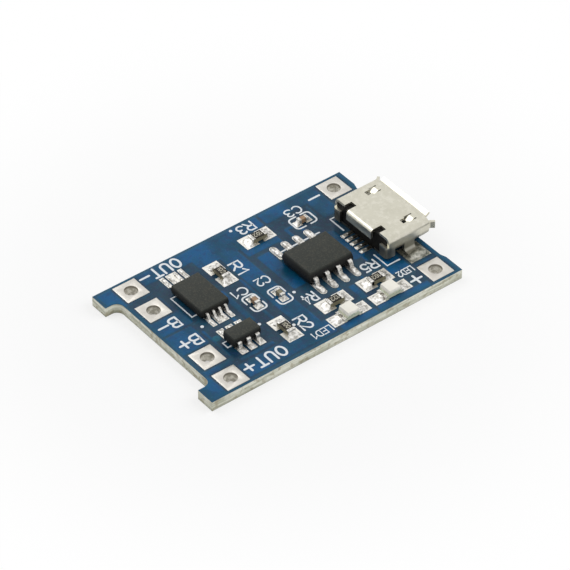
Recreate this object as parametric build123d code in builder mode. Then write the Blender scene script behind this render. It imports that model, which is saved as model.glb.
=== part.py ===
from build123d import *
import os

# Lithium battery charger module.
# Millimetres, +Z up. The origin is the middle of the board's underside, and +X points to the socket.

os.makedirs("parts", exist_ok=True)

# Floor plan: free board between the parts, from the output end to the socket
output_row_inset = 3.1
transistor_gap = 1.275
middle_gap = 1.2
charger_gap = 4.24
socket_gap = 1.66
input_row_inset = 1.82

# Floor plan: free board between the rows of lands, from the back edge to the front edge
back_margin = 1.88
back_row_gap = 0.99
front_row_gap = 0.49
lamp_row_gap = 0.57
front_margin = 0.89

# Floor plan: places of single parts
outer_wire_inset = 1.47
battery_wire_pitch = 3.26
transistor_back_margin = 1.81
protector_gap = 0.605
protector_shift = 0.12
resistor_1_back_margin = 2.895
resistor_2_front_margin = 1.805
pair_shift = 0.28
pair_gap = 0.5
capacitor_1_gap = 2.37
capacitor_2_shift = 2.3
capacitor_2_drop = 0.58
capacitor_3_shift = 2.49
capacitor_3_gap = 0.685

# Board
board_thickness = 1.0
end_notch_depth = 1.4
end_notch_width = 13.2
end_notch_radius = 0.75
socket_step_depth = 0.2
socket_step_width = 11.6
socket_step_run = 0.6

# Tinned copper, solder and the wire terminals
land_height = 0.05
solder_margin = 0.03
solder_slope = 40
wire_pad_side = 2.35
wire_hole_diameter = 1.2
barrel_wall = 0.06

# Charger chip: it sits a little off the middle of its lands
charger_length = 4.9
charger_width = 3.9
charger_height = 1.25
charger_stand_off = 0.1
charger_band = 0.22
charger_draft = 15
charger_lead_count = 4
charger_pitch = 1.27
charger_lead_width = 0.42
charger_lead_thickness = 0.2
charger_lead_reach = 1.05
charger_lead_span = charger_width + 2 * charger_lead_reach
charger_shoulder = 0.2
charger_foot = 0.6
charger_lead_bend = 0.2
charger_heat_pad_length = 3.3
charger_heat_pad_width = 2.4
charger_land_shift = 0.35
charger_land_toe = 0.88
charger_land_span = charger_lead_span + 2 * charger_land_toe
charger_land_length = 1.9
charger_land_width = 0.64
charger_solder_length = 1.6
charger_solder_height = 0.18

# Transistor pair
transistor_length = 3.0
transistor_width = 4.4
transistor_height = 0.9
transistor_stand_off = 0.08
transistor_band = 0.14
transistor_draft = 10
transistor_lead_count = 4
transistor_pitch = 0.65
transistor_lead_width = 0.24
transistor_lead_thickness = 0.12
transistor_lead_reach = 1.0
transistor_lead_span = transistor_width + 2 * transistor_lead_reach
transistor_shoulder = 0.16
transistor_foot = 0.5
transistor_lead_bend = 0.12
transistor_land_shift = 0.42
transistor_land_toe = 0.72
transistor_land_span = transistor_lead_span + 2 * transistor_land_toe
transistor_land_length = 1.45
transistor_land_width = 0.45
transistor_solder_length = 1.3
transistor_solder_height = 0.1

# Protection chip
protector_length = 2.9
protector_width = 1.6
protector_height = 1.0
protector_stand_off = 0.08
protector_band = 0.17
protector_draft = 8
protector_lead_count = 3
protector_pitch = 0.95
protector_lead_width = 0.4
protector_lead_thickness = 0.15
protector_lead_reach = 0.6
protector_lead_span = protector_width + 2 * protector_lead_reach
protector_shoulder = 0.14
protector_foot = 0.35
protector_lead_bend = 0.12
protector_land_shift = 0.12
protector_land_toe = 0.475
protector_land_span = protector_lead_span + 2 * protector_land_toe
protector_land_length = 1.1
protector_land_width = 0.7
protector_solder_length = 0.72
protector_solder_height = 0.1

# Chip resistors: they too sit a little off the middle of their lands
resistor_length = 1.6
resistor_width = 0.8
resistor_core_height = 0.4
resistor_end_length = 0.3
resistor_end_wall = 0.05
resistor_glaze_slope = 20
resistor_land_shift_x = -0.03
resistor_land_shift_y = 0.1
resistor_land_span = 3.25
resistor_land_gap = 0.55
resistor_land_width = 1.6
resistor_solder_height = 0.36
resistor_solder_reach = 0.65
resistor_solder_width = 1.3

# Chip capacitors
capacitor_length = 1.0
capacitor_side = 0.5
capacitor_end_length = 0.25
capacitor_end_wall = 0.03
capacitor_edge_chamfer = 0.03
capacitor_land_span = 1.75
capacitor_land_gap = 0.4
capacitor_land_width = 0.75
capacitor_solder_height = 0.34
capacitor_solder_reach = 0.3
capacitor_solder_width = 0.6

# Chip lamps
lamp_length = 2.0
lamp_width = 1.25
lamp_base_height = 0.28
lamp_plate_length = 0.35
lamp_plate_wall = 0.03
lamp_end_notch_radius = 0.25
lamp_lens_length = 1.36
lamp_lens_height = 0.55
lamp_lens_lean = 0.1
lamp_land_span = 4.1
lamp_land_gap = 1.3
lamp_land_width = 1.32
lamp_solder_height = 0.22
lamp_solder_reach = 0.7
lamp_solder_width = 1.1
lamp_solder_crest = 0.85

# Charging socket: the folded shell
socket_overhang = 0.4
shell_depth = 4.55
shell_width = 7.5
shell_height = 2.35
shell_wall = 0.25
shell_tuck = 0.85
shell_tuck_height = 1.05
shell_top_radius = 0.5
shell_tuck_radius = 0.4
rear_notch_place = 2.05
rear_notch_width = 0.7
rear_notch_depth = 0.75
rear_flap_reach = 0.4
rear_flap_drop = 1.0
rear_flap_radius = 0.35
rear_ear_low = 0.3
rear_ear_high = 1.5
rear_ear_inward = 1.0
rear_ear_leg = 0.7
rear_ear_radius = 0.35
latch_place = 2.45
latch_slot_length = 1.4
latch_slot_width = 0.55
latch_front_length = 0.85
latch_front_width = 0.85
latch_window_inset = 0.7
latch_spring_length = 0.8
latch_spring_width = 0.6
latch_spring_drop = 0.3
latch_spring_root = 0.25
lip_reach = 0.46
lip_rise = 0.26
lip_root = 0.12
top_lip_width = 6.2
bottom_lip_width = 4.6
side_lip_height = 0.7
tab_inset = 1.65
tab_length = 1.15
tab_foot_reach = 0.6
tab_bend_radius = 0.3

# Charging socket: the housing and the contacts in it
housing_clearance = 0.02
housing_block_length = 1.3
tongue_length = 3.1
tongue_width = 4.0
tongue_thickness = 0.65
tongue_above_floor = 0.85
tongue_edge_radius = 0.15
contact_count = 5
contact_pitch = 0.65
contact_width = 0.25
contact_thickness = 0.12
contact_toe_reach = 1.0
contact_drop_inset = 0.3
contact_tip_inset = 0.25
contact_opening_width = 3.4
contact_opening_depth = 0.5

# Charging socket: its lands and solder
contact_land_length = 1.1
contact_land_width = 0.4
contact_solder_height = 0.17
contact_solder_length = 0.45
side_land_length = 2.25
side_land_width = 2.15
side_land_inset = 0.54
side_land_reach = 1.5
side_solder_height = 0.3
side_solder_length = 1.4
side_solder_width = 1.1
side_solder_radius = 0.5

# Board size: the parts, their lands and the free board between them, added up
board_length = (
    output_row_inset
    + wire_pad_side / 2
    + transistor_gap
    + transistor_length
    + middle_gap
    + resistor_land_width
    + charger_gap
    + charger_length
    + socket_gap
    + contact_toe_reach
    + shell_depth
    - socket_overhang
    + socket_step_depth
)
board_width = (
    back_margin
    + resistor_land_width
    + back_row_gap
    + charger_land_span
    + front_row_gap
    + resistor_land_width
    + lamp_row_gap
    + lamp_land_width
    + front_margin
)

# Heights
board_top = board_thickness
land_top = board_top + land_height

# Places along the board
socket_edge_x = board_length / 2 - socket_step_depth
output_row_x = output_row_inset - board_length / 2
input_row_x = board_length / 2 - input_row_inset
transistor_x = output_row_x + wire_pad_side / 2 + transistor_gap + transistor_length / 2
protector_x = transistor_x - protector_shift
middle_x = transistor_x + transistor_length / 2 + middle_gap + resistor_land_width / 2
charger_x = middle_x + resistor_land_width / 2 + charger_gap + charger_length / 2
pair_pitch = lamp_land_span + pair_gap
left_pair_x = charger_x + pair_shift - pair_pitch / 2
right_pair_x = left_pair_x + pair_pitch

# Places across the board
outer_wire_spacing = board_width - 2 * outer_wire_inset
battery_wire_spacing = outer_wire_spacing - 2 * battery_wire_pitch
back_row_y = board_width / 2 - back_margin - resistor_land_width / 2 - resistor_land_shift_y
back_row_edge = board_width / 2 - back_margin - resistor_land_width
charger_y = back_row_edge - back_row_gap - charger_land_span / 2 - charger_land_shift
charger_row_edge = back_row_edge - back_row_gap - charger_land_span
front_row_y = charger_row_edge - front_row_gap - resistor_land_width / 2 - resistor_land_shift_y
lamp_row_y = front_margin + lamp_land_width / 2 - board_width / 2
transistor_row_y = board_width / 2 - transistor_back_margin - transistor_land_span / 2
transistor_y = transistor_row_y - transistor_land_shift
protector_row_y = transistor_row_y - (transistor_land_span + protector_land_span) / 2 - protector_gap
protector_y = protector_row_y - protector_land_shift
resistor_1_edge = board_width / 2 - resistor_1_back_margin - resistor_land_span
resistor_1_y = resistor_1_edge + resistor_land_span / 2 - resistor_land_shift_y
resistor_2_y = resistor_2_front_margin + resistor_land_span / 2 - resistor_land_shift_y - board_width / 2
capacitor_1_y = resistor_1_edge - capacitor_1_gap - capacitor_land_span / 2
capacitor_3_y = back_row_edge - back_row_gap + capacitor_3_gap + capacitor_land_width / 2

# Each small part's place, and the angle that it is turned to
resistor_places = [
    (middle_x, resistor_1_y, 90),
    (middle_x, resistor_2_y, 90),
    (left_pair_x, back_row_y, 0),
    (left_pair_x, front_row_y, 0),
    (right_pair_x, front_row_y, 0),
]
capacitor_places = [
    (middle_x, capacitor_1_y, 90),
    (middle_x + capacitor_2_shift, capacitor_1_y - capacitor_2_drop, 90),
    (charger_x + capacitor_3_shift, capacitor_3_y, 0),
]
lamp_places = [(left_pair_x, lamp_row_y, 0), (right_pair_x, lamp_row_y, 0)]

# Places of the socket
shell_front_x = socket_edge_x + socket_overhang
shell_rear_x = shell_front_x - shell_depth
shell_floor = land_top
shell_top = shell_floor + shell_height
tongue_floor = shell_floor + tongue_above_floor

terminal_places = {
    "out_minus_terminal": (output_row_x, outer_wire_spacing / 2),
    "battery_minus_terminal": (output_row_x, battery_wire_spacing / 2),
    "battery_plus_terminal": (output_row_x, -battery_wire_spacing / 2),
    "out_plus_terminal": (output_row_x, -outer_wire_spacing / 2),
    "in_minus_terminal": (input_row_x, outer_wire_spacing / 2),
    "in_plus_terminal": (input_row_x, -outer_wire_spacing / 2),
}


# Helpers that more than one piece uses

def keep(piece, name):
    """Labels a finished piece and writes it."""
    piece.part.label = name
    export_step(piece.part, f"parts/{name}.step")


def seat_on_lands(x, y, angle=0):
    """A plane on top of the lands, turned by an angle in degrees."""
    return Plane(Location((x, y, land_top), (0, 0, angle)))


def side_view(seat):
    """An upright plane through the seat's middle: its x runs along the seat's x, and its y is up."""
    return Plane(seat.origin, x_dir=seat.x_dir, z_dir=-seat.y_dir)


def row(count, pitch):
    """Evenly spaced offsets about the middle."""
    return [pitch * (place - (count - 1) / 2) for place in range(count)]


def flat_lands(rectangles):
    """Tinned copper rectangles on the board: x, y, length along x and length along y."""
    with BuildPart() as lands:
        with BuildSketch(Plane.XY.offset(board_top)):
            for x, y, along_x, along_y in rectangles:
                with Locations((x, y)):
                    Rectangle(along_x, along_y)
        extrude(amount=land_height)
    return lands


# Chips with bent leads

def lead_rows(x, y, offsets, span, length, width):
    """Two rows of rectangles, one for each lead of a chip, whose outer ends are a span apart."""
    row_places = [y + (span - length) / 2, y - (span - length) / 2]
    return [(x + offset, row_y, width, length) for row_y in row_places for offset in offsets]


def moulded_body(seat, length, width, height, stand_off, band, draft):
    """A chip body: an upright band where the leads leave it, with drafted halves above and below."""
    half = (height - band) / 2
    band_floor = seat.offset(stand_off + half)
    with BuildPart() as body:
        with BuildSketch(band_floor):
            Rectangle(length, width)
        extrude(amount=band)
        with BuildSketch(band_floor.offset(band)):
            Rectangle(length, width)
        extrude(amount=half, taper=draft)
        with BuildSketch(Plane(band_floor.origin, x_dir=seat.x_dir, z_dir=-seat.z_dir)):
            Rectangle(length, width)
        extrude(amount=half, taper=draft)
    return body


def bent_leads(seat, offsets, start, exit_height, shoulder, span, foot, width, thickness, bend):
    """Two rows of leads that run straight out of the body, down, and flat along their lands."""
    toe = span / 2
    foot_height = thickness / 2
    with BuildPart() as lead:
        with BuildLine(Plane.YZ):
            FilletPolyline(
                (start, exit_height),
                (start + shoulder, exit_height),
                (toe - foot, foot_height),
                (toe, foot_height),
                radius=bend,
            )
        with BuildSketch(Plane((0, start, exit_height), x_dir=(1, 0, 0), z_dir=(0, 1, 0))):
            Rectangle(width, thickness)
        sweep()
    with BuildPart() as leads:
        for turn in (0, 180):
            with Locations(*[seat.location * Location((x, 0, 0), (0, 0, turn)) for x in offsets]):
                add(lead.part)
    return leads


def lead_solder(rectangles, height, leads):
    """A low mound of solder on the outer part of each land, with the lead's foot set in it."""
    with BuildPart() as solder:
        for x, y, along_x, along_y in rectangles:
            with BuildSketch(seat_on_lands(x, y)):
                Rectangle(along_x - 2 * solder_margin, along_y - 2 * solder_margin)
            extrude(amount=height, taper=solder_slope)
        add(leads.part, mode=Mode.SUBTRACT)
    return solder


# Small parts with two ends

def land_pairs(places, span, gap, width):
    """Two lands for each part, with a gap between them, turned as the part is."""
    land_length = (span - gap) / 2
    with BuildPart() as lands:
        with BuildSketch(Plane.XY.offset(board_top)):
            with Locations(*[Location((x, y, 0), (0, 0, angle)) for x, y, angle in places]):
                with GridLocations(gap + land_length, 0, 2, 1):
                    Rectangle(land_length, width)
        extrude(amount=land_height)
    return lands


def end_solder(places, body_length, reach, foot_width, height, crest_width):
    """A sloping solder fillet from each end of each part down to its land."""
    with BuildPart() as solder:
        for x, y, angle in places:
            for turn in (0, 180):
                seat = seat_on_lands(x, y, angle + turn)
                with BuildSketch(seat):
                    with Locations((body_length / 2 + reach / 2, 0)):
                        Rectangle(reach, foot_width)
                with BuildSketch(seat.offset(height)):
                    with Locations((body_length / 2 + solder_margin, 0)):
                        Rectangle(2 * solder_margin, crest_width)
                loft()
    return solder


def resistor_core(seat):
    with BuildPart() as core:
        with BuildSketch(side_view(seat)):
            with Locations((0, resistor_end_wall + resistor_core_height / 2)):
                Rectangle(resistor_length - 2 * resistor_end_wall, resistor_core_height)
        extrude(amount=resistor_width / 2, both=True)
    return core


def resistor_ends(seat, core):
    """Metal ends wrapped over the top, the end and the underside of the core."""
    end_height = resistor_core_height + 2 * resistor_end_wall
    with BuildPart() as ends:
        with BuildSketch(side_view(seat)):
            with Locations((0, end_height / 2)):
                with GridLocations(resistor_length - resistor_end_length, 0, 2, 1):
                    Rectangle(resistor_end_length, end_height)
        extrude(amount=resistor_width / 2, both=True)
        add(core.part, mode=Mode.SUBTRACT)
    return ends


def resistor_glaze(seat):
    """The dark glaze on top of the core, between the two metal ends."""
    with BuildPart() as glaze:
        with BuildSketch(seat.offset(resistor_end_wall + resistor_core_height)):
            Rectangle(resistor_length - 2 * resistor_end_length, resistor_width)
        extrude(amount=resistor_end_wall, taper=resistor_glaze_slope)
    return glaze


def capacitor_core(seat):
    core_side = capacitor_side - 2 * capacitor_end_wall
    with BuildPart() as core:
        with BuildSketch(side_view(seat)):
            with Locations((0, capacitor_side / 2)):
                Rectangle(capacitor_length - 2 * capacitor_end_wall, core_side)
        extrude(amount=core_side / 2, both=True)
    return core


def capacitor_ends(seat, core):
    """Metal caps over both ends, wrapped round all four sides of the core."""
    with BuildPart() as ends:
        with BuildSketch(side_view(seat)):
            with Locations((0, capacitor_side / 2)):
                with GridLocations(capacitor_length - capacitor_end_length, 0, 2, 1):
                    Rectangle(capacitor_end_length, capacitor_side)
        extrude(amount=capacitor_side / 2, both=True)
        chamfer(ends.edges().filter_by(Axis(seat.origin, seat.x_dir)), capacitor_edge_chamfer)
        add(core.part, mode=Mode.SUBTRACT)
    return ends


def lamp_base(seat):
    """The lamp's small circuit base, with a half-round notch in each end."""
    with BuildPart() as base:
        with BuildSketch(seat.offset(lamp_plate_wall)):
            Rectangle(lamp_length - 2 * lamp_plate_wall, lamp_width)
            with GridLocations(lamp_length, 0, 2, 1):
                Circle(lamp_end_notch_radius + lamp_plate_wall, mode=Mode.SUBTRACT)
        extrude(amount=lamp_base_height - 2 * lamp_plate_wall)
    return base


def lamp_plates(seat, base):
    """Plating wrapped over each end of the base and round the inside of its notch."""
    with BuildPart() as plates:
        with BuildSketch(seat):
            with GridLocations(lamp_length - lamp_plate_length, 0, 2, 1):
                Rectangle(lamp_plate_length, lamp_width)
            with GridLocations(lamp_length, 0, 2, 1):
                Circle(lamp_end_notch_radius, mode=Mode.SUBTRACT)
        extrude(amount=lamp_base_height)
        add(base.part, mode=Mode.SUBTRACT)
    return plates


def lamp_lens(seat):
    """The moulded lens: it fills the gap between the plates, and leans in at its two ends."""
    plate_gap = lamp_length - 2 * lamp_plate_length
    with BuildPart() as lens:
        with BuildSketch(seat.offset(lamp_base_height - lamp_plate_wall)):
            Rectangle(plate_gap, lamp_width)
        extrude(amount=lamp_plate_wall)
        with BuildSketch(side_view(seat.offset(lamp_base_height))):
            with BuildLine():
                Polyline(
                    (-lamp_lens_length / 2, 0),
                    (lamp_lens_length / 2, 0),
                    (lamp_lens_length / 2 - lamp_lens_lean, lamp_lens_height),
                    (-lamp_lens_length / 2 + lamp_lens_lean, lamp_lens_height),
                    close=True,
                )
            make_face()
        extrude(amount=lamp_width / 2, both=True)
    return lens


# Circuit board
with BuildPart() as circuit_board:
    with BuildSketch():
        Rectangle(board_length, board_width)
        with Locations((-board_length / 2, 0)):
            RectangleRounded(2 * end_notch_depth, end_notch_width, end_notch_radius, mode=Mode.SUBTRACT)
        with BuildLine():
            Polyline(
                (board_length / 2, socket_step_width / 2 + socket_step_run),
                (socket_edge_x, socket_step_width / 2),
                (socket_edge_x, -socket_step_width / 2),
                (board_length / 2, -socket_step_width / 2 - socket_step_run),
                close=True,
            )
        make_face(mode=Mode.SUBTRACT)
    extrude(amount=board_thickness)
    with BuildSketch():
        with Locations(*terminal_places.values()):
            Rectangle(wire_pad_side, wire_pad_side)
    extrude(amount=land_height, mode=Mode.SUBTRACT)
    with Locations(*terminal_places.values()):
        Hole(wire_hole_diameter / 2 + barrel_wall)
keep(circuit_board, "circuit_board")


# Wire terminals: a pad above and one below, joined by the plated barrel
def wire_terminal(x, y):
    underside = Plane((x, y, 0))
    with BuildPart() as terminal:
        for pad_floor in (0, board_top):
            with BuildSketch(underside.offset(pad_floor)):
                Rectangle(wire_pad_side, wire_pad_side)
            extrude(amount=land_height)
        with BuildSketch(underside):
            Circle(wire_hole_diameter / 2 + barrel_wall)
        extrude(amount=land_top)
        with Locations(underside):
            Hole(wire_hole_diameter / 2)
    return terminal


for terminal_name, (terminal_x, terminal_y) in terminal_places.items():
    keep(wire_terminal(terminal_x, terminal_y), terminal_name)


# Charger chip
charger_seat = seat_on_lands(charger_x, charger_y)
charger_offsets = row(charger_lead_count, charger_pitch)
charger_row = (charger_x, charger_y + charger_land_shift, charger_offsets, charger_land_span)
charger_lands = lead_rows(*charger_row, charger_land_length, charger_land_width)
charger_heat_land = (charger_x, charger_y, charger_heat_pad_length, charger_heat_pad_width)
charger_chip_body = moulded_body(
    charger_seat,
    charger_length,
    charger_width,
    charger_height,
    charger_stand_off,
    charger_band,
    charger_draft,
)
charger_chip_leads = bent_leads(
    charger_seat,
    charger_offsets,
    start=charger_width / 2,
    exit_height=charger_stand_off + charger_height / 2,
    shoulder=charger_shoulder,
    span=charger_lead_span,
    foot=charger_foot,
    width=charger_lead_width,
    thickness=charger_lead_thickness,
    bend=charger_lead_bend,
)
charger_joints = lead_rows(*charger_row, charger_solder_length, charger_land_width)
charger_chip_solder = lead_solder(charger_joints, charger_solder_height, charger_chip_leads)
with BuildPart() as charger_chip_heat_pad:
    with BuildSketch(charger_seat):
        Rectangle(charger_heat_pad_length, charger_heat_pad_width)
    extrude(amount=charger_stand_off)
keep(flat_lands(charger_lands + [charger_heat_land]), "charger_chip_lands")
keep(charger_chip_body, "charger_chip_body")
keep(charger_chip_leads, "charger_chip_leads")
keep(charger_chip_heat_pad, "charger_chip_heat_pad")
keep(charger_chip_solder, "charger_chip_solder")


# Transistor pair: the two middle lands of each row are joined in one wide land
transistor_seat = seat_on_lands(transistor_x, transistor_y)
transistor_offsets = row(transistor_lead_count, transistor_pitch)
transistor_row = (transistor_x, transistor_row_y, transistor_offsets, transistor_land_span)
transistor_lands = lead_rows(*transistor_row, transistor_land_length, transistor_land_width)
transistor_wide_lands = lead_rows(
    transistor_x,
    transistor_row_y,
    [0],
    transistor_land_span,
    transistor_land_length,
    transistor_pitch + transistor_land_width,
)
transistor_body = moulded_body(
    transistor_seat,
    transistor_length,
    transistor_width,
    transistor_height,
    transistor_stand_off,
    transistor_band,
    transistor_draft,
)
transistor_leads = bent_leads(
    transistor_seat,
    transistor_offsets,
    start=transistor_width / 2,
    exit_height=transistor_stand_off + transistor_height / 2,
    shoulder=transistor_shoulder,
    span=transistor_lead_span,
    foot=transistor_foot,
    width=transistor_lead_width,
    thickness=transistor_lead_thickness,
    bend=transistor_lead_bend,
)
transistor_joints = lead_rows(*transistor_row, transistor_solder_length, transistor_land_width)
transistor_solder = lead_solder(transistor_joints, transistor_solder_height, transistor_leads)
keep(flat_lands(transistor_lands + transistor_wide_lands), "transistor_lands")
keep(transistor_body, "transistor_body")
keep(transistor_leads, "transistor_leads")
keep(transistor_solder, "transistor_solder")


# Protection chip
protector_seat = seat_on_lands(protector_x, protector_y)
protector_offsets = row(protector_lead_count, protector_pitch)
protector_row = (protector_x, protector_row_y, protector_offsets, protector_land_span)
protector_lands = lead_rows(*protector_row, protector_land_length, protector_land_width)
protector_body = moulded_body(
    protector_seat,
    protector_length,
    protector_width,
    protector_height,
    protector_stand_off,
    protector_band,
    protector_draft,
)
protector_leads = bent_leads(
    protector_seat,
    protector_offsets,
    start=protector_width / 2,
    exit_height=protector_stand_off + protector_height / 2,
    shoulder=protector_shoulder,
    span=protector_lead_span,
    foot=protector_foot,
    width=protector_lead_width,
    thickness=protector_lead_thickness,
    bend=protector_lead_bend,
)
protector_joints = lead_rows(*protector_row, protector_solder_length, protector_land_width)
protector_solder = lead_solder(protector_joints, protector_solder_height, protector_leads)
keep(flat_lands(protector_lands), "protector_lands")
keep(protector_body, "protector_body")
keep(protector_leads, "protector_leads")
keep(protector_solder, "protector_solder")


# Resistors
for number, place in enumerate(resistor_places, start=1):
    resistor_seat = seat_on_lands(*place)
    resistor_body = resistor_core(resistor_seat)
    keep(resistor_body, f"resistor_{number}_core")
    keep(resistor_ends(resistor_seat, resistor_body), f"resistor_{number}_ends")
    keep(resistor_glaze(resistor_seat), f"resistor_{number}_glaze")
resistor_lands = land_pairs(
    [(x + resistor_land_shift_x, y + resistor_land_shift_y, angle) for x, y, angle in resistor_places],
    resistor_land_span,
    resistor_land_gap,
    resistor_land_width,
)
resistor_solder = end_solder(
    resistor_places,
    resistor_length,
    resistor_solder_reach,
    resistor_solder_width,
    resistor_solder_height,
    resistor_width,
)
keep(resistor_lands, "resistor_lands")
keep(resistor_solder, "resistor_solder")


# Capacitors
for number, place in enumerate(capacitor_places, start=1):
    capacitor_seat = seat_on_lands(*place)
    capacitor_body = capacitor_core(capacitor_seat)
    keep(capacitor_body, f"capacitor_{number}_core")
    keep(capacitor_ends(capacitor_seat, capacitor_body), f"capacitor_{number}_ends")
capacitor_lands = land_pairs(capacitor_places, capacitor_land_span, capacitor_land_gap, capacitor_land_width)
capacitor_solder = end_solder(
    capacitor_places,
    capacitor_length,
    capacitor_solder_reach,
    capacitor_solder_width,
    capacitor_solder_height,
    capacitor_side,
)
keep(capacitor_lands, "capacitor_lands")
keep(capacitor_solder, "capacitor_solder")


# Lamps
for number, place in enumerate(lamp_places, start=1):
    lamp_seat = seat_on_lands(*place)
    lamp_body = lamp_base(lamp_seat)
    keep(lamp_body, f"lamp_{number}_base")
    keep(lamp_plates(lamp_seat, lamp_body), f"lamp_{number}_plates")
    keep(lamp_lens(lamp_seat), f"lamp_{number}_lens")
lamp_solder = end_solder(
    lamp_places,
    lamp_length,
    lamp_solder_reach,
    lamp_solder_width,
    lamp_solder_height,
    lamp_solder_crest,
)
keep(land_pairs(lamp_places, lamp_land_span, lamp_land_gap, lamp_land_width), "lamp_lands")
keep(lamp_solder, "lamp_solder")


# Charging socket

def shell_section(x, inset=0):
    """The socket's cross-section at x: wide above, and tucked in at both lower corners."""
    half = shell_width / 2
    with BuildSketch(Plane.YZ.offset(x)) as section:
        with BuildLine():
            Polyline(
                (-half + shell_tuck, shell_floor),
                (half - shell_tuck, shell_floor),
                (half, shell_floor + shell_tuck_height),
                (half, shell_top),
                (-half, shell_top),
                (-half, shell_floor + shell_tuck_height),
                close=True,
            )
        make_face()
        *tuck_corners, top_corners = section.vertices().group_by(Axis.Z)
        fillet(top_corners, shell_top_radius)
        fillet([corner for level in tuck_corners for corner in level], shell_tuck_radius)
        if inset:
            offset(amount=-inset)
    return section.sketch


def folded_sheet(plane, points, radius, side):
    """A strip of the shell's sheet seen edge on: points along one face, with folds of a radius."""
    with BuildSketch(plane) as strip:
        with BuildLine():
            FilletPolyline(*points, radius=radius)
            offset(amount=shell_wall, side=side)
        make_face()
    return strip.sketch


def flared_lip(origin, normal):
    """The edge of a flared lip: it leaves the mouth along x and turns outwards."""
    points = [(0, 0), (lip_root, 0), (lip_reach, lip_rise)]
    return folded_sheet(Plane(origin, x_dir=(1, 0, 0), z_dir=normal), points, lip_root, Side.RIGHT)


upright_middle = shell_floor + (shell_tuck_height + shell_height) / 2
spring_root_x = shell_front_x - latch_window_inset
ear_x = shell_rear_x - shell_wall - housing_clearance
with BuildPart() as socket_shell:
    extrude(shell_section(shell_rear_x), amount=shell_depth)
    extrude(shell_section(shell_rear_x, shell_wall), amount=shell_depth, mode=Mode.SUBTRACT)
    # Rear notches in the top, and latch windows, wide in front and narrow behind
    with BuildSketch(Plane.XY.offset(shell_top - 2 * shell_wall)):
        with Locations((shell_rear_x, 0)):
            with GridLocations(0, 2 * rear_notch_place, 1, 2):
                Rectangle(2 * rear_notch_depth, rear_notch_width)
        with Locations((spring_root_x - latch_slot_length / 2, 0)):
            with GridLocations(0, 2 * latch_place, 1, 2):
                Rectangle(latch_slot_length, latch_slot_width)
        with Locations((spring_root_x - latch_front_length / 2, 0)):
            with GridLocations(0, 2 * latch_place, 1, 2):
                Rectangle(latch_front_length, latch_front_width)
    extrude(amount=3 * shell_wall, mode=Mode.SUBTRACT)
    # Opening in the rear of the floor, where the contacts come down
    with BuildSketch(Plane.XY.offset(shell_floor - shell_wall)):
        with Locations((shell_rear_x, 0)):
            Rectangle(2 * contact_opening_depth, contact_opening_width)
    extrude(amount=3 * shell_wall, mode=Mode.SUBTRACT)
    # Rear flap between the two notches, folded down behind the housing
    rear_flap = folded_sheet(
        Plane.XZ,
        [
            (shell_rear_x + shell_wall, shell_top),
            (shell_rear_x - rear_flap_reach, shell_top),
            (shell_rear_x - rear_flap_reach, shell_top - rear_flap_drop),
        ],
        rear_flap_radius,
        Side.LEFT,
    )
    extrude(rear_flap, amount=rear_notch_place - rear_notch_width / 2, both=True)
    for hand in (1, -1):
        side_y = hand * shell_width / 2
        # Latch spring, hanging from the front end of its window
        latch_spring = folded_sheet(
            Plane.XZ.offset(hand * latch_place),
            [
                (spring_root_x + shell_wall, shell_top),
                (spring_root_x - latch_spring_root, shell_top),
                (spring_root_x - latch_spring_length, shell_top - latch_spring_drop),
            ],
            shell_wall,
            Side.LEFT,
        )
        extrude(latch_spring, amount=latch_spring_width / 2, both=True)
        # Ear folded behind the housing at the rear lower corner
        rear_ear = folded_sheet(
            Plane.XY.offset(board_top + rear_ear_low),
            [
                (shell_rear_x + rear_ear_leg, side_y),
                (ear_x, side_y),
                (ear_x, side_y - hand * rear_ear_inward),
            ],
            rear_ear_radius,
            Side.LEFT if hand > 0 else Side.RIGHT,
        )
        extrude(rear_ear, amount=rear_ear_high - rear_ear_low)
        # Tab from the side wall down to its land, with its foot turned outwards
        side_tab = folded_sheet(
            Plane.YZ.offset(shell_front_x - tab_inset - tab_length),
            [
                (side_y, upright_middle),
                (side_y, land_top + shell_wall),
                (side_y + hand * tab_foot_reach, land_top + shell_wall),
            ],
            tab_bend_radius,
            Side.RIGHT if hand > 0 else Side.LEFT,
        )
        extrude(side_tab, amount=tab_length)
        # Flared lip on the side wall
        side_lip = flared_lip((shell_front_x, side_y, upright_middle), (0, 0, hand))
        extrude(side_lip, amount=side_lip_height / 2, both=True)
    # Flared lips on the top and on the floor
    extrude(flared_lip((shell_front_x, 0, shell_top), (0, -1, 0)), amount=top_lip_width / 2, both=True)
    extrude(flared_lip((shell_front_x, 0, shell_floor), (0, 1, 0)), amount=bottom_lip_width / 2, both=True)
keep(socket_shell, "socket_shell")


# Socket contacts: along the underside of the tongue, down through the housing and out to their lands
contact_toe_x = shell_rear_x - contact_toe_reach
contact_drop_x = shell_rear_x + contact_drop_inset
contact_tip_x = shell_rear_x + housing_block_length + tongue_length - contact_tip_inset
contact_foot_height = land_top + contact_thickness / 2
with BuildPart() as contact:
    with BuildLine(Plane.XZ):
        Polyline(
            (contact_toe_x, contact_foot_height),
            (contact_drop_x, contact_foot_height),
            (contact_drop_x, tongue_floor + contact_thickness / 2),
            (contact_tip_x, tongue_floor + contact_thickness / 2),
        )
    with BuildSketch(Plane((contact_toe_x, 0, contact_foot_height), x_dir=(0, 1, 0), z_dir=(1, 0, 0))):
        Rectangle(contact_width, contact_thickness)
    sweep(transition=Transition.RIGHT)
contact_offsets = row(contact_count, contact_pitch)
with BuildPart() as socket_contacts:
    with Locations(*[(0, offset_y, 0) for offset_y in contact_offsets]):
        add(contact.part)
keep(socket_contacts, "socket_contacts")


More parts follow.
